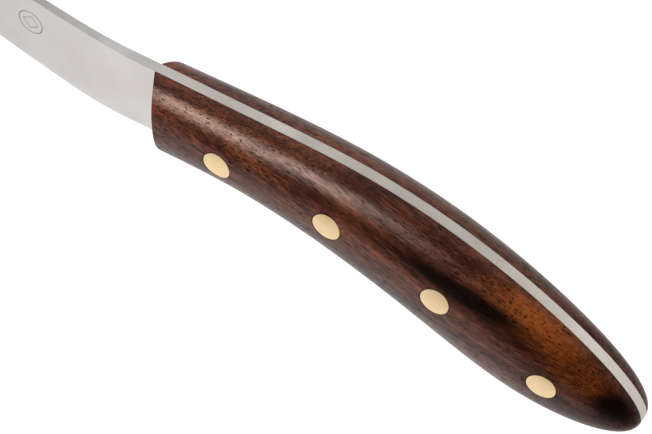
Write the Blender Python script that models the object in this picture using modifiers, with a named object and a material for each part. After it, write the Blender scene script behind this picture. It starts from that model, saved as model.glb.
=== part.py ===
"""Full-tang boning knife: blade and tang in one steel piece, two wooden scales, four brass rivets.

The knife lies on its right side. +X points from the tip to the butt, +Y from the edge to the spine
and +Z out of the left side. Dimensions are in millimetres. Each outline is worked out in knife
coordinates (along, up, out): "along" is 0 at the front of the handle and grows toward the butt, "up"
grows toward the spine, and "out" is 0 in the steel's middle plane and grows toward the left side.
"""
import math

import bmesh
import bpy
import numpy as np
from mathutils import Vector

MM = 0.001
GAP = 0.3                  # room between pieces that touch

HANDLE_LENGTH = 120.0
BLADE_LENGTH = 133.0
TANG_THICKNESS = 2.4

# The steel's outline before its ends are rounded: distance along, spine, height of the steel.
OUTLINE = (
    (-133.0, 13.6, 11.5),
    (-100.0, 8.1, 15.0),
    (-60.0, 4.8, 17.8),
    (-35.0, 5.3, 18.9),
    (-20.0, 6.4, 20.0),
    (-10.0, 7.8, 20.7),
    (0.0, 10.2, 20.7),
    (24.0, 16.3, 19.9),
    (48.0, 21.6, 23.4),
    (72.0, 23.0, 27.1),
    (96.0, 21.2, 29.2),
    (120.0, 18.4, 25.5),
)
TIP_POWERS = (7.0, 0.65)    # the edge sweeps up to the spine over the last stretch of the blade
BUTT_POWERS = (6.1, 0.54)  # the outline closes round the butt

# The handle's half thickness at its crown: distance along, half thickness.
CROWN = (
    (0.0, 7.6),
    (24.0, 8.4),
    (48.0, 8.9),
    (72.0, 9.2),
    (96.0, 9.1),
    (120.0, 8.8),
)
CROWN_POWERS = (6.7, 0.34)
SECTION_POWERS = (2.3, 0.48)    # the scale's rounded section, from the spine line to the belly line
FRONT_SETBACK = 6.9             # the scale's front end lies this far back at the belly
FRONT_POWER = 2.5

# The blade's sides are flat between these two places; half thickness = base + lean * up + taper * along.
FLAT_FRONT = -62.0
FLAT_BACK = -18.0
THIN_EDGE_BACK = 0.5       # behind this the edge thickens to the tang, up to the scale's front end
FLAT_BASE = 0.736
FLAT_LEAN = 0.0388
FLAT_TAPER = 0.00162
TIP_SPINE_HALF = 0.45
EDGE_HALF = 0.12

# Rivets: distance along, height up.
RIVETS = ((21.0, 5.0), (47.0, 10.4), (73.2, 10.9), (99.8, 6.4))
HEAD_RADIUS = 3.25
HEAD_SEAT = 5.5            # underside of the head, from the middle plane
TUBE_RADIUS = 2.3
TUBE_BORE_RADIUS = 1.8
STEM_RADIUS = 1.5
STEM_SHORT = 1.0           # how far a stem or a tube stops short of the opposite head
HEAD_STOCK = 14.0          # length of a head before it is trimmed flush
FLUSH_INSET = 0.05         # the trimmed head lies this far under the wood

ACROSS = 20                # facets across a scale
ALONG_SCALE = 30           # facets along a scale
ROUND = 24                 # facets round a rivet


def spline(stations, column, along):
    """Natural cubic spline through one column of a table of stations."""
    knots = np.array([row[0] for row in stations])
    values = np.array([row[column] for row in stations])
    steps = np.diff(knots)
    slopes = np.diff(values) / steps
    matrix = np.eye(len(knots))
    right = np.zeros(len(knots))
    for i in range(1, len(knots) - 1):
        matrix[i, i - 1:i + 2] = steps[i - 1], 2 * (steps[i - 1] + steps[i]), steps[i]
        right[i] = 6 * (slopes[i] - slopes[i - 1])
    bends = np.linalg.solve(matrix, right)
    i = int(np.clip(np.searchsorted(knots, along) - 1, 0, len(steps) - 1))
    before = (along - knots[i]) / steps[i]
    after = 1 - before
    bow = (after ** 3 - after) * bends[i] + (before ** 3 - before) * bends[i + 1]
    return float(after * values[i] + before * values[i + 1] + bow * steps[i] ** 2 / 6)


def closing(share, powers):
    """Falls from 1 to 0 as share of the way to an end goes from 0 to 1."""
    power, root = powers
    return max(0.0, 1 - min(1.0, max(0.0, share)) ** power) ** root


def steel_outline(along):
    """Heights of the spine line and of the edge or belly line."""
    spine = spline(OUTLINE, 1, along)
    height = spline(OUTLINE, 2, along)
    if along < 0:
        return spine, spine - height * closing(-along / BLADE_LENGTH, TIP_POWERS)
    centre = spine - height / 2
    half = height / 2 * closing(along / HANDLE_LENGTH, BUTT_POWERS)
    return centre + half, centre - half


def crown(along):
    return spline(CROWN, 1, along) * closing(along / HANDLE_LENGTH, CROWN_POWERS)


def handle_point(place, share, base, inset=0.0):
    """A point on the left scale's outside.

    share runs from 1 at the spine line to -1 at the belly line, and place from 0 at the scale's
    front end to 1 at the butt. base is where the surface meets the steel's side.
    """
    front = FRONT_SETBACK * (1 - ((1 + share) / 2) ** FRONT_POWER)
    along = front + (HANDLE_LENGTH - front) * place
    spine, belly = steel_outline(along)
    power, root = SECTION_POWERS
    rise = max(0.0, crown(along) - inset - base) * (1 - abs(share) ** power) ** root
    return along, (spine + belly) / 2 + share * (spine - belly) / 2, base + rise


def frame_shift():
    """Moves the knife coordinates so that the origin is the bottom centre of the whole knife."""
    places = np.arange(-BLADE_LENGTH, HANDLE_LENGTH, 0.5)
    lines = np.array([steel_outline(along) for along in places])
    thickest = max(crown(along) for along in places if along > 0)
    middle = (lines[:, 0].max() + lines[:, 1].min()) / 2
    return Vector(((BLADE_LENGTH - HANDLE_LENGTH) / 2, -middle, thickest))


SHIFT = frame_shift()


def place_mm(along, up, out):
    return (Vector((along, up, out)) + SHIFT) * MM


def eased(count):
    """Places from 0 to 1 that crowd together toward 1."""
    return [math.sin(math.pi / 2 * i / count) for i in range(count + 1)]


def material(name, color, roughness, metallic):
    made = bpy.data.materials.new(name)
    made.use_nodes = True
    shader = made.node_tree.nodes["Principled BSDF"]
    shader.inputs["Base Color"].default_value = (*color, 1.0)
    shader.inputs["Roughness"].default_value = roughness
    shader.inputs["Metallic"].default_value = metallic
    return made


def add_object(name, mesh, collection, finish=None):
    made = bpy.data.objects.new(name, mesh)
    collection.objects.link(made)
    if finish:
        mesh.materials.append(finish)
    return made


def mesh_from(name, build):
    """A mesh from the faces that build(bm) adds, closed and facing out."""
    bm = bmesh.new()
    build(bm)
    bmesh.ops.remove_doubles(bm, verts=bm.verts, dist=1e-6)
    bmesh.ops.dissolve_degenerate(bm, edges=bm.edges, dist=1e-7)
    bmesh.ops.recalc_face_normals(bm, faces=bm.faces)
    mesh = bpy.data.meshes.new(name)
    bm.to_mesh(mesh)
    bm.free()
    mesh.shade_smooth()
    mesh.set_sharp_from_angle(angle=math.radians(35))
    return mesh


def grid_faces(bm, rows):
    """Quads between neighbouring rows of vertices of equal length."""
    for row, following in zip(rows, rows[1:]):
        for i in range(len(row) - 1):
            bm.faces.new((row[i], row[i + 1], following[i + 1], following[i]))


def flat_half(up, along):
    """Half thickness on the blade's flat sides."""
    return FLAT_BASE + FLAT_LEAN * up + FLAT_TAPER * along


def blend(along, start, end):
    """Rises smoothly from 0 at start to 1 at end."""
    share = min(1.0, max(0.0, (along - start) / (end - start)))
    return share * share * (3 - 2 * share)


def side_halves(along):
    """Half thickness of the steel at its spine line and at its edge or belly line."""
    tang = TANG_THICKNESS / 2
    spine, edge = steel_outline(max(along, FLAT_FRONT))
    at_spine = flat_half(spine, max(along, FLAT_FRONT))
    at_edge = max(EDGE_HALF, flat_half(edge, max(along, FLAT_FRONT)))
    at_spine += (tang - at_spine) * blend(along, FLAT_BACK, 0.0)
    at_edge += (tang - at_edge) * blend(along, THIN_EDGE_BACK, FRONT_SETBACK)
    toward_tip = max(0.0, (FLAT_FRONT - along) / (BLADE_LENGTH + FLAT_FRONT))
    at_spine += (TIP_SPINE_HALF - at_spine) * toward_tip
    at_edge += (EDGE_HALF - at_edge) * toward_tip
    return at_spine, at_edge


def build_steel(bm):
    """A four-cornered section carried from the tip to the butt."""
    toward_tip = [FLAT_FRONT - (BLADE_LENGTH + FLAT_FRONT) * share for share in reversed(eased(16))]
    flat_stretch = list(np.linspace(FLAT_FRONT, FLAT_BACK, 8)[1:])
    to_handle = list(np.linspace(FLAT_BACK, 0, 7)[1:])
    under_front = list(np.linspace(0, FRONT_SETBACK, 5)[1:])
    to_butt = [FRONT_SETBACK + (HANDLE_LENGTH - FRONT_SETBACK) * share for share in eased(28)[1:]]
    rows = []
    for along in toward_tip + flat_stretch + to_handle + under_front + to_butt:
        spine, edge = steel_outline(along)
        at_spine, at_edge = side_halves(along)
        corners = ((spine, at_spine), (edge, at_edge), (edge, -at_edge), (spine, -at_spine))
        row = [bm.verts.new(place_mm(along, up, out)) for up, out in corners]
        rows.append(row + row[:1])
    grid_faces(bm, rows)
    bm.faces.new(rows[0][:4])
    bm.faces.new(rows[-1][:4])


def build_scale(side):
    """A scale on the left (side 1) or on the right (side -1)."""
    base = TANG_THICKNESS / 2 + GAP
    shares = [math.cos(math.pi * i / ACROSS) for i in range(ACROSS + 1)]

    def build(bm):
        rows = []
        for place in eased(ALONG_SCALE):
            points = [handle_point(place, share, base) for share in shares]
            rows.append([bm.verts.new(place_mm(a, up, out * side)) for a, up, out in points])
        grid_faces(bm, rows)
        foot = []
        for share in shares[1:-1]:
            along, up, _ = handle_point(0.0, share, base)
            foot.append(bm.verts.new(place_mm(along, up, base * side)))
        foot = [rows[0][0]] + foot + [rows[0][-1]]
        for i in range(ACROSS):
            corners = [rows[0][i], foot[i], foot[i + 1], rows[0][i + 1]]
            bm.faces.new(list(dict.fromkeys(corners)))
        spine_line = [row[0] for row in rows]
        belly_line = [row[-1] for row in rows[:-1]]
        bm.faces.new(spine_line + belly_line[::-1] + foot[-2:0:-1])

    return build


def build_handle_form(bm):
    """The whole handle as one body, to trim the rivet heads flush with the wood."""
    shares = [math.cos(math.pi * i / ACROSS) for i in range(ACROSS + 1)]
    base = TANG_THICKNESS / 2 + GAP
    rows = []
    for place in eased(ALONG_SCALE)[:-1]:
        points = [handle_point(place, share, base, FLUSH_INSET) for share in shares]
        left = [bm.verts.new(place_mm(a, up, out)) for a, up, out in points]
        right = [bm.verts.new(place_mm(a, up, -out)) for a, up, out in reversed(points)]
        rows.append(left + right + left[:1])
    grid_faces(bm, rows)
    for row in (rows[0], rows[-1]):
        for i in range(ACROSS):
            mirrored = 2 * ACROSS + 1 - i
            bm.faces.new((row[i], row[i + 1], row[mirrored - 1], row[mirrored]))


def turned(name, profile, collection, finish=None):
    """A turned piece from (radius, height) points that run down its outer side."""
    mesh = bpy.data.meshes.new(name)
    points = [(radius * MM, 0.0, height * MM) for radius, height in profile]
    mesh.from_pydata(points, [(i, i + 1) for i in range(len(points) - 1)], [])
    made = add_object(name, mesh, collection, finish)
    screw = made.modifiers.new("turn", "SCREW")
    screw.steps = ROUND
    screw.render_steps = ROUND
    screw.use_merge_vertices = True
    screw.merge_threshold = 1e-6
    screw.use_smooth_shade = False
    return made


def cut(target, cutter, operation):
    boolean = target.modifiers.new(cutter.name, "BOOLEAN")
    boolean.object = cutter
    boolean.operation = operation


def rivet_profiles():
    """Turned outlines of a rivet's male half and female half, with the head on top."""
    reach = HEAD_SEAT - STEM_SHORT
    male = (
        (0.0, HEAD_STOCK),
        (HEAD_RADIUS, HEAD_STOCK),
        (HEAD_RADIUS, HEAD_SEAT),
        (STEM_RADIUS, HEAD_SEAT),
        (STEM_RADIUS, -reach),
        (0.0, -reach),
    )
    female = (
        (0.0, HEAD_STOCK),
        (HEAD_RADIUS, HEAD_STOCK),
        (HEAD_RADIUS, HEAD_SEAT),
        (TUBE_RADIUS, HEAD_SEAT),
        (TUBE_RADIUS, -reach),
        (TUBE_BORE_RADIUS, -reach),
        (TUBE_BORE_RADIUS, HEAD_SEAT),
        (0.0, HEAD_SEAT),
    )
    return male, female


def hole_profile():
    """The stepped hole through scales and tang, wide at both ends for the heads."""
    step = HEAD_SEAT - GAP
    wide = HEAD_RADIUS + GAP
    narrow = TUBE_RADIUS + GAP
    upper = ((0.0, HEAD_STOCK), (wide, HEAD_STOCK), (wide, step), (narrow, step))
    lower = tuple((radius, -height) for radius, height in reversed(upper))
    return upper + lower


def main():
    for old in list(bpy.data.objects):
        bpy.data.objects.remove(old, do_unlink=True)
    knife = bpy.data.collections.new("boning_knife")
    cutters = bpy.data.collections.new("cutters")
    for collection in (knife, cutters):
        bpy.context.scene.collection.children.link(collection)

    steel = material("steel", (0.62, 0.60, 0.58), 0.35, 1.0)
    walnut = {
        "left_scale": material("left_walnut", (0.10, 0.035, 0.018), 0.4, 0.0),
        "right_scale": material("right_walnut", (0.10, 0.035, 0.018), 0.4, 0.0),
    }

    blade = add_object("blade_and_tang", mesh_from("blade_and_tang", build_steel), knife, steel)
    scales = []
    for name, side in (("left_scale", 1), ("right_scale", -1)):
        scales.append(add_object(name, mesh_from(name, build_scale(side)), knife, walnut[name]))
    form = add_object("handle_form", mesh_from("handle_form", build_handle_form), cutters)

    male_profile, female_profile = rivet_profiles()
    for number, (along, up) in enumerate(RIVETS, start=1):
        centre = place_mm(along, up, 0.0)
        hole = turned(f"rivet_{number}_hole", hole_profile(), cutters)
        hole.location = centre
        for target in (blade, *scales):
            cut(target, hole, "DIFFERENCE")
        halves = (("male", male_profile, 0.0), ("female", female_profile, math.pi))
        for half, profile, turn in halves:
            name = f"rivet_{number}_{half}"
            brass = material(f"{name}_brass", (0.78, 0.62, 0.36), 0.3, 1.0)
            rivet = turned(name, profile, knife, brass)
            rivet.location = centre
            rivet.rotation_euler = (turn, 0.0, 0.0)
            cut(rivet, form, "INTERSECT")
    for cutter in cutters.objects:
        cutter.hide_render = True
        cutter.display_type = "WIRE"


main()
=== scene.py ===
"""The looks of a full-tang boning knife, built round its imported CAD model.

The knife lies on its right side: +X points from the tip to the butt, +Y from the edge to the spine
and +Z out of the left side. Shapes are worked out in knife coordinates (along, up, out), in
millimetres: "along" is 0 at the front of the handle and grows toward the butt, "up" grows toward the
spine, and "out" is 0 in the steel's middle plane and grows toward the left side.
"""
import math

import bmesh
import bpy
import numpy as np
from mathutils import Matrix, Vector
from mathutils.bvhtree import BVHTree


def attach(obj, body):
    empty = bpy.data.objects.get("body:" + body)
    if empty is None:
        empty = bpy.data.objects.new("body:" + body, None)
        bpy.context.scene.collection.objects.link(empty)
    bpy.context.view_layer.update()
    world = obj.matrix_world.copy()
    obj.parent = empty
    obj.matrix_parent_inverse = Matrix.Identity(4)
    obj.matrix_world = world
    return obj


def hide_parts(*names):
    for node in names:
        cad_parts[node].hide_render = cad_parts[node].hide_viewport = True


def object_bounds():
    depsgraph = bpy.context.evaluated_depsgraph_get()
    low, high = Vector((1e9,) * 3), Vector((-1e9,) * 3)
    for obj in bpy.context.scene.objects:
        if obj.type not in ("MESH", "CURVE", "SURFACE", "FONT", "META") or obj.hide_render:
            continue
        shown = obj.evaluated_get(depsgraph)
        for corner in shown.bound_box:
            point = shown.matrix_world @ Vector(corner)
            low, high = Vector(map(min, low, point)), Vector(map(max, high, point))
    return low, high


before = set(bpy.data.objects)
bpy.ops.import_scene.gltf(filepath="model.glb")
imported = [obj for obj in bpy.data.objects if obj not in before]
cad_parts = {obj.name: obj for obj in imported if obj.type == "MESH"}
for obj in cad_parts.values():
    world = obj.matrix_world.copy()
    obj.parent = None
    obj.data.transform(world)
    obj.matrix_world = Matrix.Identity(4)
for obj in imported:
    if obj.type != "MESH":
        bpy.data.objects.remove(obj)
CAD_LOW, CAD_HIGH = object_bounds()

MM = 0.001

# The knife's driving dimensions, as in its CAD source.
HANDLE_LENGTH = 120.0
BLADE_LENGTH = 133.0
TANG_HALF = 1.2
OUTLINE = (                # distance along, spine, height of the steel
    (-133.0, 13.6, 11.5),
    (-100.0, 8.1, 15.0),
    (-60.0, 4.8, 17.8),
    (-35.0, 5.3, 18.9),
    (-20.0, 6.4, 20.0),
    (-10.0, 7.8, 20.7),
    (0.0, 10.2, 20.7),
    (24.0, 16.3, 19.9),
    (48.0, 21.6, 23.4),
    (72.0, 23.0, 27.1),
    (96.0, 21.2, 29.2),
    (120.0, 18.4, 25.5),
)
TIP_POWERS = (7.0, 0.65)
BUTT_POWERS = (6.1, 0.54)
CROWN = (                  # distance along, the handle's half thickness
    (0.0, 7.6),
    (24.0, 8.4),
    (48.0, 8.9),
    (72.0, 9.2),
    (96.0, 9.1),
    (120.0, 8.8),
)
CROWN_POWERS = (6.7, 0.34)
SECTION_POWERS = (2.3, 0.48)
FRONT_SETBACK = 6.9        # the tang is full thickness from here back
FRONT_LINE = (-0.55, 5.75)  # the wood's front end at the spine, and how far it runs back below that

# The blade's ground sides: half thickness = base + lean * up + taper * along.
FLAT_FRONT = -62.0
FLAT_BACK = -18.0
FLAT_BASE = 0.736
FLAT_LEAN = 0.0388
FLAT_TAPER = 0.00162
THIN_EDGE_BACK = 0.5
EDGE_HALF = 0.12
TIP_SPINE_HALF = 0.45
TIP_THINNING = 8.0         # the blade thins out over its last stretch

# The finer shape of the edges and seams.
SEAM = 0.05                # hairline between the wood and the steel
FLUSH_INSET = 0.01         # how far the wood and brass stay inside the CAD surface
SPINE_CHAMFER = (0.035, 0.02)   # broken corner of the steel: how far down its side, how far in
BEVEL_HEIGHT = (0.8, 0.08)  # cutting bevel on the blade, and the broken corner of the tang
BEVEL_HALF = 0.03          # half thickness of the cutting edge
BEVEL_SHARE = 0.6          # the cutting edge is at most this share of the thickness above it
FRONT_ROUND = (0.05, 0.8)  # rounding of the wood's front edge at the spine and at the belly
BUTT_EDGE = 0.05           # thickness of the wood where it runs out at the butt

RIVETS = ((21.0, 5.0), (47.0, 10.4), (73.2, 10.9), (99.8, 6.4))     # distance along, height up
HEAD_RADIUS = 3.20
HEAD_FIT = 0.20            # room round a head
HEAD_CHAMFER = (0.03, 0.009)    # broken corner of a head: how far down its side, how far in
HEAD_SEAT = 5.5            # underside of the head, from the middle plane
SEAT_ROOM = 0.3            # room under a head
TUBE_RADIUS = 2.3
TUBE_BORE_RADIUS = 1.8
STEM_RADIUS = 1.5
STEM_SHORT = 1.0           # stems and tubes end this far before the other head
HOLE_RADIUS = 2.6
CUTTER_REACH = 14.0        # the hole cutters go well past the skin

SIDE_FACETS = 10           # facets down a side of the steel
ACROSS = 96                # facets across a scale
ALONG_SCALE = 150          # facets along a scale
FRONT_TURNS = 8            # facets round the wood's front edge
ROUND = 96                 # facets round a rivet
HEAD_FACETS = 12           # facets from the middle of a head to its rim
SKIN_STEP = 1e-4           # radians, the step that finds the slope of the skin
END_STEPS = 10000          # steps over the last millimetre in which the wood's end is sought
TINY = 1e-6                # stands in for a length of 0 below a division line
MERGE_DISTANCE = 1e-6      # metres, and so is the next
SLIVER_LENGTH = 1e-7
SHARP_ANGLE = 40.0         # edges that turn by more than this many degrees are left sharp
STEEL_SHARP_ANGLE = 16.0
NARROW_TILT = 0.6          # a face of the steel whose normal leans less to the side is a narrow one
INWARD_SHARE = 0.01        # a corner looks for its old face from this far toward its face's middle

MARK_PLACE = (-30.5, -2.0)  # middle of the small etched mark
MARK_RING = 3.0            # radius
MARK_DIAMOND = 1.9         # from the middle to a corner
MARK_LINE = 0.22           # width of a line
MARK_LINE_SOFT = 0.03      # each side of a line fades over twice this
MARK_DEPTH = 0.7           # share of the line's own colour in it
MARK_COLOR = (0.05, 0.05, 0.05)

# Material slots: a drilled piece's hole walls, and the steel's narrow faces.
HOLE_FACES = 1
NARROW_FACES = 2


# --- Shape functions ---------------------------------------------------------------------------------


def spline(stations, column, along):
    """Natural cubic spline through one column of a table of stations."""
    knots = np.array([row[0] for row in stations])
    values = np.array([row[column] for row in stations])
    steps = np.diff(knots)
    slopes = np.diff(values) / steps
    matrix = np.eye(len(knots))
    right = np.zeros(len(knots))
    for i in range(1, len(knots) - 1):
        matrix[i, i - 1:i + 2] = steps[i - 1], 2 * (steps[i - 1] + steps[i]), steps[i]
        right[i] = 6 * (slopes[i] - slopes[i - 1])
    bends = np.linalg.solve(matrix, right)
    i = np.clip(np.searchsorted(knots, along) - 1, 0, len(steps) - 1)
    before = (along - knots[i]) / steps[i]
    after = 1 - before
    bow = (after ** 3 - after) * bends[i] + (before ** 3 - before) * bends[i + 1]
    return after * values[i] + before * values[i + 1] + bow * steps[i] ** 2 / 6


def closing(share, powers):
    """Falls from 1 to 0 as share of the way to an end goes from 0 to 1."""
    power, root = powers
    return (1 - np.clip(share, 0, 1) ** power) ** root


def blend(along, start, end):
    """Rises smoothly from 0 at start to 1 at end."""
    share = np.clip((along - start) / (end - start), 0, 1)
    return share * share * (3 - 2 * share)


def steel_outline(along):
    """Heights of the spine line and of the edge or belly line."""
    spine = spline(OUTLINE, 1, along)
    height = spline(OUTLINE, 2, along)
    blade_edge = spine - height * closing(-along / BLADE_LENGTH, TIP_POWERS)
    lost = height / 2 * (1 - closing(along / HANDLE_LENGTH, BUTT_POWERS))
    on_blade = along < 0
    return np.where(on_blade, spine, spine - lost), np.where(on_blade, blade_edge, spine - height + lost)


def crown(along):
    """The handle's half thickness."""
    return spline(CROWN, 1, along) * closing(along / HANDLE_LENGTH, CROWN_POWERS) - FLUSH_INSET


def skin(along, share):
    """Height up and distance out of the left scale's outside; share is 1 at the spine, -1 at the belly."""
    spine, belly = steel_outline(along)
    power, root = SECTION_POWERS
    base = TANG_HALF + SEAM
    swell = np.maximum(1 - np.abs(share) ** power, 0) ** root
    out = base + np.maximum(crown(along) - base, 0) * swell
    return (spine + belly) / 2 + share * (spine - belly) / 2, out


def skin_out(along, up):
    """Distance out of the left scale's outside over a point of the side view."""
    spine, belly = steel_outline(along)
    share = (2 * up - spine - belly) / (spine - belly)
    return skin(along, np.clip(share, -1, 1))[1]


def flat_half(up, along):
    """Half thickness on the blade's flat sides."""
    return FLAT_BASE + FLAT_LEAN * up + FLAT_TAPER * along


def side_halves(along):
    """Half thickness of the steel at its spine line and at its edge or belly line."""
    held = np.maximum(along, FLAT_FRONT)
    spine, edge = steel_outline(held)
    at_spine = flat_half(spine, held)
    at_edge = np.maximum(EDGE_HALF, flat_half(edge, held))
    at_spine = at_spine + (TANG_HALF - at_spine) * blend(along, FLAT_BACK, 0.0)
    at_edge = at_edge + (TANG_HALF - at_edge) * blend(along, THIN_EDGE_BACK, FRONT_SETBACK)
    toward_tip = np.clip((FLAT_FRONT - along) / (BLADE_LENGTH + FLAT_FRONT), 0, 1)
    at_spine = at_spine + (TIP_SPINE_HALF - at_spine) * toward_tip
    at_edge = at_edge + (EDGE_HALF - at_edge) * toward_tip
    thin = np.sqrt(np.clip((along + BLADE_LENGTH) / TIP_THINNING, 0, 1))
    return at_spine * thin, at_edge * thin


def eased(count):
    """Places from 0 to 1 that crowd together toward 1."""
    return np.sin(np.pi / 2 * np.arange(count + 1) / count)


# The knife's place in the frame: butt and spine at the box's sides, middle plane at half its height.
FINE_ALONG = np.arange(0, HANDLE_LENGTH, 0.1)
SHIFT = Vector((
    CAD_HIGH.x / MM - HANDLE_LENGTH,
    CAD_HIGH.y / MM - float(steel_outline(FINE_ALONG)[0].max()),
    (CAD_LOW.z + CAD_HIGH.z) / 2 / MM,
))


def place_mm(along, up, out):
    return (Vector((along, up, out)) + SHIFT) * MM


# --- Mesh helpers ------------------------------------------------------------------------------------


def loft(name, rings, capped=False, sharp_angle=SHARP_ANGLE):
    """A closed body through rings of points in knife coordinates, each ring closed on itself.

    capped closes the first and last rings by a ladder of quads between their two halves.
    """
    points = (np.asarray(rings) + np.array(SHIFT)) * MM
    bm = bmesh.new()
    rows = [[bm.verts.new(point) for point in ring] for ring in points]
    count = len(rows[0])
    for row, following in zip(rows, rows[1:]):
        for i in range(count):
            j = (i + 1) % count
            bm.faces.new((row[i], row[j], following[j], following[i]))
    for row in (rows[0], rows[-1]) if capped else ():
        for i in range(count // 2):
            corners = (row[i], row[i + 1], row[-i - 1], row[-i])
            bm.faces.new(list(dict.fromkeys(corners)))
    return body(name, bm, sharp_angle)


def body(name, bm, sharp_angle=SHARP_ANGLE):
    """Turns a finished bmesh into an object, clean, facing out and shaded smooth between sharp edges."""
    bmesh.ops.remove_doubles(bm, verts=bm.verts, dist=MERGE_DISTANCE)
    bmesh.ops.dissolve_degenerate(bm, edges=bm.edges, dist=SLIVER_LENGTH)
    bmesh.ops.recalc_face_normals(bm, faces=bm.faces)
    mesh = bpy.data.meshes.new(name)
    bm.to_mesh(mesh)
    bm.free()
    mesh.shade_smooth()
    mesh.set_sharp_from_angle(angle=math.radians(sharp_angle))
    made = bpy.data.objects.new(name, mesh)
    bpy.context.scene.collection.objects.link(made)
    return made


def turned(name, centre, rings):
    """A body of revolution about the out axis; a ring is (radius, out), where out may be a function."""
    turns = np.arange(ROUND) * 2 * np.pi / ROUND
    bm = bmesh.new()
    rows = []
    for radius, out in rings:
        along = centre[0] + radius * np.cos(turns)
        up = centre[1] + radius * np.sin(turns)
        outs = out(along, up) if callable(out) else np.full(ROUND, float(out))
        rows.append([bm.verts.new(place_mm(*point)) for point in zip(along, up, outs)])
    for row, following in zip(rows, rows[1:]):
        for i in range(ROUND):
            j = (i + 1) % ROUND
            bm.faces.new((row[i], row[j], following[j], following[i]))
    return body(name, bm)


def finish_slots(piece, *materials):
    for finish in materials:
        piece.data.materials.append(finish)


def drill(piece, cutters):
    """Cuts the holes and keeps the smooth shading of the uncut surface round them.

    A corner of the cut mesh takes its normal from the corners of the uncut face nearest to it, the
    closest of them weighing most.
    """
    uncut = bmesh.new()
    uncut.from_mesh(piece.data)
    tree = BVHTree.FromBMesh(uncut)
    smooth = [corner.vector.copy() for corner in piece.data.corner_normals]
    faces = piece.data.polygons
    corners = [[piece.data.loops[i].vertex_index for i in face.loop_indices] for face in faces]
    firsts = [face.loop_start for face in faces]
    uncut.free()
    for cutter in cutters:
        hole = piece.modifiers.new(cutter.name, "BOOLEAN")
        hole.operation = "DIFFERENCE"
        hole.object = cutter
    evaluated = piece.evaluated_get(bpy.context.evaluated_depsgraph_get())
    cut = bpy.data.meshes.new_from_object(evaluated)
    old = piece.data
    piece.modifiers.clear()
    piece.data = cut
    normals = [Vector()] * len(cut.loops)
    for face in cut.polygons:
        if face.material_index == HOLE_FACES:
            continue
        for i in face.loop_indices:
            point = cut.vertices[cut.loops[i].vertex_index].co
            inward = point + (face.center - point) * INWARD_SHARE
            _, _, index, _ = tree.find_nearest(inward)
            near = corners[index]
            weights = [1 / ((old.vertices[v].co - point).length + SLIVER_LENGTH) ** 2 for v in near]
            total = Vector()
            for k, weight in enumerate(weights):
                total += smooth[firsts[index] + k] * weight
            normals[i] = total.normalized()
    cut.name = piece.name
    cut.normals_split_custom_set(normals)


# --- Pieces ------------------------------------------------------------------------------------------


def stretch(start, end, facets):
    """Evenly spaced places after start, up to end."""
    return np.linspace(start, end, facets + 1)[1:]


def build_steel():
    """Blade and tang: a flat spine with broken corners, ground sides and a fine cutting bevel.

    The bevel and the broken corners shrink where the steel runs out at the tip and at the butt.
    """
    places = np.concatenate((
        FLAT_FRONT - (BLADE_LENGTH + FLAT_FRONT) * eased(60)[::-1],
        stretch(FLAT_FRONT, FLAT_BACK, 15),
        stretch(FLAT_BACK, 0, 12),
        stretch(0, FRONT_SETBACK, 12),
        FRONT_SETBACK + (HANDLE_LENGTH - FRONT_SETBACK) * eased(90)[1:],
    ))
    spine, edge = steel_outline(places)
    edge = edge + np.minimum(FLUSH_INSET, (spine - edge) / 2)
    at_spine, at_edge = side_halves(places)
    height = spine - edge
    on_tang = blend(places, THIN_EDGE_BACK, FRONT_SETBACK)
    chamfer = np.minimum(1, np.minimum(height / 4, at_spine / 3) / max(SPINE_CHAMFER))
    corner_down, corner_in = SPINE_CHAMFER[0] * chamfer, SPINE_CHAMFER[1] * chamfer
    bevel = np.minimum(BEVEL_HEIGHT[0] + (BEVEL_HEIGHT[1] - BEVEL_HEIGHT[0]) * on_tang, height / 4)
    broken = np.minimum(BEVEL_HEIGHT[1], height / 4)
    bevel_half = BEVEL_HALF + (at_edge - broken - BEVEL_HALF) * on_tang
    most = at_edge * BEVEL_SHARE
    bevel_half = np.minimum(bevel_half, most + (bevel_half - most) * on_tang)

    def half_at(up):
        return at_edge + (at_spine - at_edge) * (up - edge) / np.maximum(height, TINY)

    columns = [(spine, share * (at_spine - corner_in)) for share in (0, 0.5, 1)]
    side_top = spine - corner_down
    side_foot = edge + bevel
    for share in np.linspace(0, 1, SIDE_FACETS + 1):
        up = side_top + (side_foot - side_top) * share
        columns.append((up, half_at(up)))
    columns += [(edge, share * bevel_half) for share in (1, 0.5, 0)]
    left = [np.stack((places, up, out), axis=1) for up, out in columns]
    right = [points * (1, 1, -1) for points in left[-2:0:-1]]
    rings = np.stack(left + right, axis=1)
    steel = loft("blade_steel", rings, sharp_angle=STEEL_SHARP_ANGLE)
    for face in steel.data.polygons:
        face.material_index = NARROW_FACES if abs(face.normal.z) < NARROW_TILT else 0
    return steel


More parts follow.
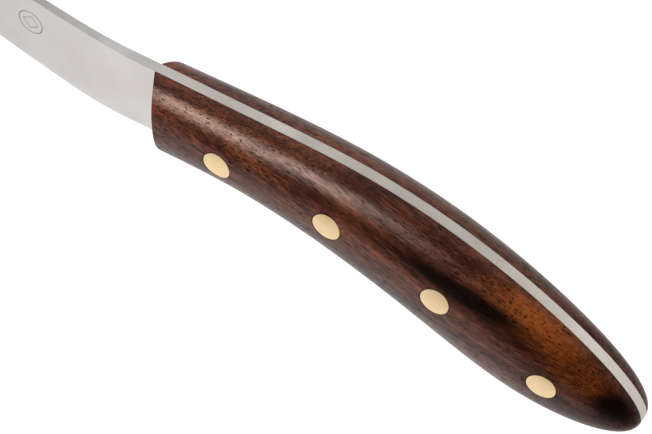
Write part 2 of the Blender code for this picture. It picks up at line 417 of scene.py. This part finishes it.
def build_scale(name, side):
    """A scale: rounded outside, flat inside, rounded front edge.

    It ends at the butt where the crown has come down to the thickness of the wood's edge there.
    """
    base = TANG_HALF + SEAM
    shares = np.cos(np.pi * np.arange(ACROSS + 1) / ACROSS)
    front = FRONT_LINE[0] + FRONT_LINE[1] * np.sqrt(1 - shares)
    rounding = FRONT_ROUND[0] + (FRONT_ROUND[1] - FRONT_ROUND[0]) * ((1 - shares) / 2) ** 1.5
    rows = []                  # places along the knife, and how far inside the skin they lie
    for turn in np.linspace(0, np.pi / 2, FRONT_TURNS + 1):
        rows.append((front + rounding * (1 - math.cos(turn)), rounding * (1 - math.sin(turn))))
    start = front + rounding
    near_butt = np.linspace(HANDLE_LENGTH - 1, HANDLE_LENGTH, END_STEPS + 1)
    end = near_butt[crown(near_butt) <= base + BUTT_EDGE].min()
    for place in eased(ALONG_SCALE)[1:]:
        rows.append((start + (end - start) * place, np.zeros_like(start)))
    angles = np.arccos(np.clip(shares, -1, 1))
    rings = []
    for along, inset in rows:
        up, out = skin(along, shares)
        before = skin(along, np.cos(np.clip(angles - SKIN_STEP, 0, np.pi)))
        after = skin(along, np.cos(np.clip(angles + SKIN_STEP, 0, np.pi)))
        tangent = np.stack((after[0] - before[0], after[1] - before[1]))
        length = np.maximum(np.hypot(*tangent), TINY)
        up = up + tangent[1] / length * -inset
        out = np.maximum(out + tangent[0] / length * inset, base)
        out[0] = out[-1] = base
        outside = np.stack((along, up, out), axis=1)
        inside = np.stack((along, up, np.full_like(out, base)), axis=1)[-2:0:-1]
        rings.append(np.concatenate((outside, inside)) * (1, 1, side))
    return loft(name, rings, capped=True)


def rivet_rings(side, inner):
    """Rings of a rivet half from the middle of its head to its end; inner is what lies below the head."""
    def face(along, up):
        return side * (skin_out(along, up) - FLUSH_INSET)

    def rim(along, up):
        return side * (skin_out(along, up) - FLUSH_INSET - HEAD_CHAMFER[0])

    flat = HEAD_RADIUS - HEAD_CHAMFER[1]
    rings = [(flat * share, face) for share in np.linspace(0, 1, HEAD_FACETS + 1)]
    rings += [(HEAD_RADIUS, rim), (HEAD_RADIUS, side * HEAD_SEAT)]
    return rings + [(radius, side * out) for radius, out in inner]


def hole_cutter(name, centre):
    """The stepped hole through scales and tang, wide at both ends for the heads."""
    wide = HEAD_RADIUS + HEAD_FIT
    step = HEAD_SEAT - SEAT_ROOM
    half = ((0, CUTTER_REACH), (wide, CUTTER_REACH), (wide, step), (HOLE_RADIUS, step))
    cutter = turned(name, centre, half + tuple((radius, -out) for radius, out in half[::-1]))
    finish_slots(cutter, None, None)    # empty slots, so that the walls it cuts keep their slot number
    cutter.data.polygons.foreach_set("material_index", [HOLE_FACES] * len(cutter.data.polygons))
    return cutter


# --- Materials ---------------------------------------------------------------------------------------


def put(tree, kind, inputs=None, **settings):
    """Adds a node, gives it its settings, and links or sets its inputs."""
    node = tree.nodes.new(kind)
    for key, value in settings.items():
        setattr(node, key, value)
    for key, value in (inputs or {}).items():
        if isinstance(value, bpy.types.NodeSocket):
            tree.links.new(value, node.inputs[key])
        else:
            node.inputs[key].default_value = value
    return node


def start_material(name):
    """A material without nodes, its tree, and the knife coordinates in millimetres as a vector."""
    made = bpy.data.materials.new(name)
    made.use_nodes = True
    tree = made.node_tree
    tree.nodes.clear()
    spot = put(tree, "ShaderNodeTexCoord").outputs["Object"]
    millimetres = vector_node(tree, "MULTIPLY", spot, (1 / MM,) * 3)
    return made, tree, vector_node(tree, "SUBTRACT", millimetres, SHIFT)


def stretched(tree, vector, scale, offset=(0, 0, 0)):
    return put(tree, "ShaderNodeMapping", {"Vector": vector, "Scale": scale, "Location": offset}).outputs[0]


def noise(tree, vector, scale, detail=2.0, roughness=0.5, offset=(0, 0, 0), out="Fac"):
    """Noise whose grains are 1/scale millimetres along each axis."""
    inputs = {
        "Vector": stretched(tree, vector, scale, offset),
        "Scale": 1.0,
        "Detail": detail,
        "Roughness": roughness,
    }
    return put(tree, "ShaderNodeTexNoise", inputs).outputs[out]


def cells(tree, vector, scale):
    """Distance from the nearest of points scattered 1/scale millimetres apart along each axis."""
    inputs = {"Vector": stretched(tree, vector, scale), "Scale": 1.0}
    return put(tree, "ShaderNodeTexVoronoi", inputs).outputs["Distance"]


def math_node(tree, operation, *values):
    return put(tree, "ShaderNodeMath", dict(enumerate(values)), operation=operation).outputs[0]


def vector_node(tree, operation, *values, out="Vector"):
    return put(tree, "ShaderNodeVectorMath", dict(enumerate(values)), operation=operation).outputs[out]


def remap(tree, value, low, high, to_low=0.0, to_high=1.0, smooth=True):
    inputs = {"Value": value, "From Min": low, "From Max": high, "To Min": to_low, "To Max": to_high}
    kind = "SMOOTHSTEP" if smooth else "LINEAR"
    return put(tree, "ShaderNodeMapRange", inputs, interpolation_type=kind).outputs["Result"]


def ramp(tree, value, *stops):
    """Colour ramp from (position, colour) stops."""
    node = put(tree, "ShaderNodeValToRGB", {"Fac": value})
    elements = node.color_ramp.elements
    while len(elements) < len(stops):
        elements.new(0.5)
    for element, (position, color) in zip(elements, stops):
        element.position = position
        element.color = (*color, 1.0)
    return node.outputs["Color"]


def mix_color(tree, share, first, second, kind="MIX"):
    """Mixes two colours; the Mix node's colour sockets are its inputs 6 and 7 and its output 2."""
    inputs = {"Factor": share}
    for key, color in ((6, first), (7, second)):
        inputs[key] = color if isinstance(color, bpy.types.NodeSocket) else (*color, 1.0)
    return put(tree, "ShaderNodeMix", inputs, data_type="RGBA", blend_type=kind).outputs[2]


def scaled(color, share):
    return tuple(share * part for part in color)


def blob(tree, vector, centre, radii):
    """1 at the middle of an ellipsoid, falling to 0 at its surface."""
    scale = tuple(1 / radius for radius in radii)
    offset = tuple(-c / r for c, r in zip(centre, radii))
    far = vector_node(tree, "LENGTH", stretched(tree, vector, scale, offset), out="Value")
    return remap(tree, far, 1.0, 0.0)


def bump(tree, height, distance, strength):
    inputs = {"Height": height, "Distance": distance, "Strength": strength}
    return put(tree, "ShaderNodeBump", inputs).outputs["Normal"]


def axis(tree, vector, name):
    return put(tree, "ShaderNodeSeparateXYZ", {0: vector}).outputs[name]


def shade(tree, inputs):
    shader = put(tree, "ShaderNodeBsdfPrincipled", inputs)
    put(tree, "ShaderNodeOutputMaterial", {"Surface": shader.outputs["BSDF"]})


def walnut(name, offset, marks):
    """Oiled reddish brown walnut: straight grain along the knife, dark pores, soft figure.

    offset is the piece's place in the grain. marks are (centre, radii, strength, colour) patches of
    amber or dark wood, laid on in that order.
    """
    made, tree, knife = start_material(name)
    here = vector_node(tree, "ADD", knife, offset)
    drift = noise(tree, here, (0.015, 0.06, 0.06), detail=1.0, out="Color")
    drift = vector_node(tree, "SUBTRACT", drift, (0.5, 0.5, 0.5))
    grain = vector_node(tree, "ADD", here, vector_node(tree, "MULTIPLY", drift, (0.0, 10.0, 10.0)))

    figure = noise(tree, grain, (0.022, 0.26, 0.26), detail=3.0, roughness=0.55)
    streaks = noise(tree, grain, (0.06, 1.3, 1.3), detail=2.0, roughness=0.6, offset=(7, 3, 5))
    fibres = noise(tree, grain, (0.22, 4.6, 4.6), detail=4.0, roughness=0.9, offset=(1, 8, 2))
    mottle = noise(tree, grain, (0.40, 0.85, 0.85), detail=4.0, roughness=0.75, offset=(3, 1, 6))
    tone = math_node(tree, "MULTIPLY_ADD", streaks, 0.30, math_node(tree, "MULTIPLY", figure, 0.75))
    tone = math_node(tree, "MULTIPLY_ADD", mottle, 0.60, math_node(tree, "SUBTRACT", tone, 1.12))
    tone = math_node(tree, "MULTIPLY_ADD", fibres, 1.55, tone)
    color = ramp(
        tree, tone,
        (0.20, (0.0065, 0.0011, 0.0002)),
        (0.40, (0.0260, 0.0039, 0.0007)),
        (0.56, (0.0600, 0.0102, 0.0016)),
        (0.80, (0.1450, 0.0310, 0.0050)),
    )
    matt = 0.0
    dots = remap(tree, cells(tree, grain, (0.85, 1.45, 1.45)), 0.25, 0.15)
    for centre, radii, strength, tint in marks:
        share = blob(tree, knife, centre, radii)
        share = math_node(tree, "MULTIPLY", share, remap(tree, tone, 0.3, 0.6, strength - 0.2, strength))
        share = math_node(tree, "MINIMUM", share, 1.0)
        if tint == AMBER:
            warm = ramp(tree, tone, (0.3, scaled(tint, 0.65)), (0.7, scaled(tint, 1.3)))
            warm = mix_color(tree, dots, warm, scaled(tint, 0.15))
            color = mix_color(tree, share, color, warm)
        else:
            color = mix_color(tree, share, color, tint)
            matt = math_node(tree, "MAXIMUM", share, matt)

    groups = noise(tree, grain, (0.05, 0.3, 0.3), detail=2.0, offset=(4, 4, 9))
    pores = remap(tree, cells(tree, grain, (0.36, 2.1, 2.1)), 0.25, 0.15)
    pores = math_node(tree, "MULTIPLY", pores, remap(tree, groups, 0.36, 0.50))
    hair = noise(tree, grain, (0.07, 3.2, 3.2), detail=1.0, offset=(2, 5, 5))
    hair = remap(tree, hair, 0.27, 0.22)
    pores = math_node(tree, "MAXIMUM", pores, math_node(tree, "MULTIPLY", hair, 0.8))
    color = mix_color(tree, pores, color, PORE)

    roughness = remap(tree, fibres, 0.3, 0.7, 0.26, 0.42, smooth=False)
    roughness = math_node(tree, "MULTIPLY_ADD", pores, 0.25, roughness)
    worn = remap(tree, axis(tree, knife, "X"), 66.0, 112.0, 1.0, 0.55)
    gloss = math_node(tree, "MULTIPLY", remap(tree, tone, 0.28, 0.72, 0.27, 0.73), worn)
    gloss = math_node(tree, "MULTIPLY", gloss, math_node(tree, "MULTIPLY_ADD", matt, -0.6, 1.0))
    gloss = math_node(tree, "MULTIPLY_ADD", pores, -0.45, gloss)
    height = math_node(tree, "MULTIPLY_ADD", fibres, 0.7, math_node(tree, "MULTIPLY", mottle, 0.5))
    height = math_node(tree, "MULTIPLY_ADD", pores, -0.8, height)
    shade(tree, {
        "Base Color": color,
        "Roughness": roughness,
        "Specular IOR Level": gloss,
        "IOR": 1.45,
        "Specular Tint": (1.0, 0.76, 0.64, 1.0),
        "Normal": bump(tree, height, 0.00006, 0.6),
    })
    return made


def hole_wood(name):
    """Bare wood inside a rivet hole."""
    made, tree, knife = start_material(name)
    grain = noise(tree, knife, (0.3, 3.0, 3.0), detail=3.0)
    color = ramp(tree, grain, (0.3, (0.020, 0.008, 0.004)), (0.7, (0.050, 0.020, 0.010)))
    shade(tree, {"Base Color": color, "Roughness": 0.8, "Normal": bump(tree, grain, 0.0001, 0.5)})
    return made


def line_mask(tree, value, place):
    """1 on a fine line where the value passes a place, in millimetres."""
    off = math_node(tree, "ABSOLUTE", math_node(tree, "SUBTRACT", value, place))
    return remap(tree, off, MARK_LINE / 2 + MARK_LINE_SOFT, MARK_LINE / 2 - MARK_LINE_SOFT)


def etched_mark(tree, knife):
    """A plain ring round a plain diamond, etched on the blade's left side."""
    spot = stretched(tree, knife, (1, 1, 0), (-MARK_PLACE[0], -MARK_PLACE[1], 0))
    far = vector_node(tree, "LENGTH", spot, out="Value")
    folded = vector_node(tree, "ABSOLUTE", spot)
    steps = vector_node(tree, "DOT_PRODUCT", folded, (1, 1, 0), out="Value")
    ring = line_mask(tree, far, MARK_RING)
    diamond = line_mask(tree, steps, MARK_DIAMOND)
    lines = math_node(tree, "MAXIMUM", ring, diamond)
    on_left = math_node(tree, "GREATER_THAN", axis(tree, knife, "Z"), 0.0)
    return math_node(tree, "MULTIPLY", lines, on_left)


def ground_steel(name, colors, tints_and_painted_reflection, lines, roughness, marked=False):
    """Satin steel with fine grinding lines; lines gives how fine the noise is along each axis, per mm.

    colors are the finish at its darkest and at its lightest. The tints are (distance along, colour) stops
    that darken and lighten it along the knife, partly its own finish and partly painted reflection, and
    marked adds the etched mark.
    """
    low, high = colors
    made, tree, knife = start_material(name)
    share = remap(tree, axis(tree, knife, "X"), -BLADE_LENGTH, HANDLE_LENGTH, smooth=False)
    stops = [((place + BLADE_LENGTH) / (BLADE_LENGTH + HANDLE_LENGTH), tint) for place, tint in tints_and_painted_reflection]
    # partly painted reflection: the steel's colour is darkened and lightened along the knife by these tints
    shading = ramp(tree, share, *stops)
    cloud = noise(tree, knife, (0.08, 0.08, 0.08), detail=3.0)
    fine = noise(tree, knife, lines, detail=3.0, roughness=0.65)
    tone = math_node(tree, "MULTIPLY_ADD", fine, 0.4, math_node(tree, "MULTIPLY", cloud, 0.6))
    color = ramp(tree, tone, (0.38, low), (0.62, high))
    color = mix_color(tree, 1.0, color, shading, "MULTIPLY")
    rough = remap(tree, fine, 0.3, 0.7, roughness - 0.04, roughness + 0.04, smooth=False)
    if marked:
        etched = etched_mark(tree, knife)
        color = mix_color(tree, math_node(tree, "MULTIPLY", etched, MARK_DEPTH), color, MARK_COLOR)
        rough = math_node(tree, "MULTIPLY_ADD", etched, 0.15, rough)
    shade(tree, {
        "Base Color": color,
        "Metallic": 1.0,
        "Roughness": rough,
        "Normal": bump(tree, fine, 0.000004, 0.5),
    })
    return made


def satin_brass(name):
    """Pale brass, sanded flush with the wood along the grain."""
    made, tree, knife = start_material(name)
    fine = noise(tree, knife, (1.2, 14.0, 14.0), detail=3.0, roughness=0.6)
    cloud = noise(tree, knife, (0.5, 0.5, 0.5), detail=3.0)
    tone = math_node(tree, "MULTIPLY_ADD", fine, 0.5, math_node(tree, "MULTIPLY", cloud, 0.5))
    color = ramp(tree, tone, (0.35, (0.73, 0.535, 0.30)), (0.65, (0.80, 0.60, 0.345)))
    rough = remap(tree, fine, 0.3, 0.7, 0.28, 0.38, smooth=False)
    shade(tree, {
        "Base Color": color,
        "Metallic": 1.0,
        "Roughness": rough,
        "Normal": bump(tree, fine, 0.000005, 0.5),
    })
    return made


BLADE_COLORS = ((0.53, 0.50, 0.485), (0.59, 0.56, 0.545))
BLADE_LINES = (9.0, 0.25, 9.0)
BLADE_ROUGHNESS = 0.33
BLADE_TINTS_AND_PAINTED_REFLECTION = (            # distance along, tint: darker toward the tip, partly the blade's own finish and partly painted reflection
    (-40.0, (0.9, 0.9, 0.9)),
    (-8.0, (1.0, 1.0, 1.0)),
)
NARROW_COLORS = ((0.465, 0.43, 0.395), (0.625, 0.58, 0.533))
NARROW_LINES = (1.5, 5.0, 5.0)
NARROW_ROUGHNESS = 0.40
NARROW_TINTS_AND_PAINTED_REFLECTION = (           # duller on the blade's spine, brightest toward the butt; partly the steel's own finish and partly painted reflection
    (-40.0, (0.52, 0.54, 0.57)),
    (-8.0, (0.88, 0.91, 0.96)),
    (6.0, (0.87, 0.87, 0.88)),
    (36.0, (0.87, 0.86, 0.86)),
    (50.0, (0.76, 0.75, 0.73)),
    (74.0, (0.77, 0.76, 0.74)),
    (88.0, (1.0, 1.0, 0.98)),
)

PORE = (0.004, 0.001, 0.0006)
AMBER = (0.17, 0.040, 0.005)
DARK = (0.003, 0.0006, 0.0002)
LEFT_MARKS = (             # centre, radii, strength and colour of the patches, in knife coordinates
    ((26.0, 11.5, 8.0), (15.0, 4.5, 5.0), 0.25, AMBER),
    ((95.0, 19.5, 5.4), (22.0, 7.6, 7.0), 1.15, AMBER),
    ((50.0, 21.0, 3.2), (22.0, 4.0, 4.5), 0.55, DARK),
    ((40.0, 16.0, 7.3), (15.0, 3.0, 4.0), 0.65, DARK),
    ((77.5, 16.8, 8.0), (29.0, 3.9, 4.6), 1.5, DARK),
    ((91.0, 14.0, 7.7), (10.0, 2.4, 4.0), 0.7, DARK),
    ((108.0, 12.5, 6.5), (13.0, 8.5, 8.0), 0.45, AMBER),
    ((102.0, 6.0, 8.0), (18.0, 8.0, 6.0), 0.4, DARK),
    ((113.8, 9.7, 5.0), (9.5, 7.4, 7.0), 1.35, DARK),
)
RIGHT_MARKS = (
    ((70.0, 14.0, -7.0), (30.0, 4.0, 5.0), 0.8, DARK),
)
SCALES = (                 # name, side, offset into the wood's grain, patches
    ("left_scale", 1, (0, 0, 0), LEFT_MARKS),
    ("right_scale", -1, (300, 70, 40), RIGHT_MARKS),
)


# --- Stage, lights and camera ------------------------------------------------------------------------

FLOOR_HALF = 4.0           # metres, as are the floor's drop and all about the lights
FLOOR_DROP = 0.00005       # keeps the floor just clear of the wood
FLOOR_GLOW = 1.1
HORIZON_FRONT = 1.25       # brightness low down on the edge's side and on the spine's side
HORIZON_BACK = 0.28
HORIZON_BUTT = 0.3         # share of that brightness left beyond the butt
ZENITH = 0.03              # brightness overhead
LIGHT_AIM = (24.0, 8.0, 0.0)    # knife coordinates of the point that both lights look at
# A light: the way to it from that point, how far away it stands, its size in metres and its power.
SOFTBOX = ((-0.43, 0.45, 0.78), 0.7, (0.52, 0.27), 6.8)
OVERHEAD = ((0.0, 0.0, 1.0), 1.2, (1.7, 1.7), 5.0)

VIEW_AIM = (44.2, 0.44, 0.0)    # knife coordinates of the point in the middle of the picture
VIEW_DISTANCE = 0.48537    # metres
VIEW_AZIMUTH = 171.469     # degrees round the knife, 0 being from the edge's side
VIEW_ELEVATION = 34.027
VIEW_ROLL = -140.31
LENS = 131.08              # millimetres, on a sensor of the width below
SENSOR_WIDTH = 36.0


def build_floor():
    """A white table that glows evenly, as a lit acrylic sheet does."""
    bm = bmesh.new()
    corners = ((-1, -1), (1, -1), (1, 1), (-1, 1))
    verts = [bm.verts.new((x * FLOOR_HALF, y * FLOOR_HALF, -FLOOR_DROP)) for x, y in corners]
    bm.faces.new(verts)
    mesh = bpy.data.meshes.new("floor")
    bm.to_mesh(mesh)
    bm.free()
    floor = bpy.data.objects.new("floor", mesh)
    bpy.context.scene.collection.objects.link(floor)
    made = bpy.data.materials.new("glowing_white")
    made.use_nodes = True
    tree = made.node_tree
    tree.nodes.clear()
    glow = put(tree, "ShaderNodeEmission", {"Color": (1.0, 1.0, 1.0, 1.0), "Strength": FLOOR_GLOW})
    put(tree, "ShaderNodeOutputMaterial", {"Surface": glow.outputs["Emission"]})
    mesh.materials.append(made)


def build_surround():
    """A studio that is white low down on the edge's side and dark overhead."""
    world = bpy.data.worlds.new("studio")
    bpy.context.scene.world = world
    world.use_nodes = True
    tree = world.node_tree
    tree.nodes.clear()
    way = put(tree, "ShaderNodeTexCoord").outputs["Generated"]
    low = remap(tree, axis(tree, way, "Y"), -0.2, 0.5, HORIZON_FRONT, HORIZON_BACK)
    low = math_node(tree, "MULTIPLY", low, remap(tree, axis(tree, way, "X"), 0.1, 0.8, 1.0, HORIZON_BUTT))
    fall = remap(tree, axis(tree, way, "Z"), 0.58, 0.92)
    strength = put(tree, "ShaderNodeMix", {"Factor": fall, 2: low, 3: ZENITH}, data_type="FLOAT")
    sky = put(tree, "ShaderNodeBackground", {"Color": (1, 1, 1, 1), "Strength": strength.outputs[0]})
    put(tree, "ShaderNodeOutputWorld", {"Surface": sky.outputs[0]})


def build_light(name, light_from, distance, size, power, lit):
    """A large soft light aimed at the handle, which lights only the given pieces."""
    data = bpy.data.lights.new(name, "AREA")
    data.shape = "ELLIPSE"
    data.size, data.size_y = size
    data.energy = power
    light = bpy.data.objects.new(name, data)
    bpy.context.scene.collection.objects.link(light)
    light.light_linking.receiver_collection = bpy.data.collections.new("lit_by_" + name)
    for piece in lit:
        light.light_linking.receiver_collection.objects.link(piece)
    back = Vector(light_from).normalized()
    light.location = place_mm(*LIGHT_AIM) + back * distance
    light.rotation_mode = "QUATERNION"
    across = Vector((0.0, 1.0, 0.0)).cross(back).normalized()
    light.rotation_quaternion = Matrix((across, back.cross(across), back)).transposed().to_quaternion()


def build_camera():
    """The camera where the photographer's stood, turned so that the handle runs down to the right."""
    azimuth, elevation = math.radians(VIEW_AZIMUTH), math.radians(VIEW_ELEVATION)
    level = math.cos(elevation)
    back = Vector((math.sin(azimuth) * level, -math.cos(azimuth) * level, math.sin(elevation)))
    data = bpy.data.cameras.new("camera")
    data.lens = LENS
    data.sensor_width = SENSOR_WIDTH
    data.sensor_fit = "HORIZONTAL"
    data.clip_start = 0.01
    camera = bpy.data.objects.new("camera", data)
    bpy.context.scene.collection.objects.link(camera)
    upright = back.to_track_quat("Z", "Y").to_matrix().to_4x4()
    roll = Matrix.Rotation(math.radians(VIEW_ROLL), 4, "Z")
    camera.matrix_world = Matrix.Translation(place_mm(*VIEW_AIM) + back * VIEW_DISTANCE) @ upright @ roll
    bpy.context.scene.camera = camera


# --- Putting it together -----------------------------------------------------------------------------


def take_place(piece, slot, *nodes):
    """The piece rides with the knife and stands for the CAD nodes. slot is not used."""
    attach(piece, "root")
    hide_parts(*nodes)


def main():
    bare = hole_wood("bare_wood")
    cutters = [hole_cutter(f"hole_{i}", centre) for i, centre in enumerate(RIVETS, start=1)]

    steel = build_steel()
    ground = ground_steel(
        "blade_steel", BLADE_COLORS, BLADE_TINTS_AND_PAINTED_REFLECTION, BLADE_LINES, BLADE_ROUGHNESS, marked=True)
    sanded = ground_steel("tang_steel", NARROW_COLORS, NARROW_TINTS_AND_PAINTED_REFLECTION, NARROW_LINES, NARROW_ROUGHNESS)
    finish_slots(steel, ground, sanded, sanded)
    drill(steel, cutters)
    take_place(steel, "steel", "blade_and_tang")
    metal = [steel]

    scales = []
    for name, side, offset, marks in SCALES:
        scale = build_scale(name + "_walnut", side)
        finish_slots(scale, walnut(name + "_walnut", offset, marks), bare)
        drill(scale, cutters)
        take_place(scale, "walnut", name)
        scales.append(scale)

    brass = satin_brass("satin_brass")
    reach = HEAD_SEAT - STEM_SHORT
    male = ((STEM_RADIUS, HEAD_SEAT), (STEM_RADIUS, -reach), (0.0, -reach))
    female = (
        (TUBE_RADIUS, HEAD_SEAT),
        (TUBE_RADIUS, -reach),
        (TUBE_BORE_RADIUS, -reach),
        (TUBE_BORE_RADIUS, HEAD_SEAT),
        (0.0, HEAD_SEAT),
    )
    for number, centre in enumerate(RIVETS, start=1):
        for half, side, inner in (("male", 1, male), ("female", -1, female)):
            rivet = turned(f"brass_rivet_{number}_{half}", centre, rivet_rings(side, inner))
            finish_slots(rivet, brass)
            take_place(rivet, "brass", f"rivet_{number}_{half}")
            metal.append(rivet)

    for cutter in cutters:
        bpy.data.objects.remove(cutter)
    build_floor()
    build_surround()
    build_light("softbox", *SOFTBOX, scales)
    build_light("overhead", *OVERHEAD, metal)
    build_camera()
    bpy.context.scene.view_settings.view_transform = "Standard"


main()
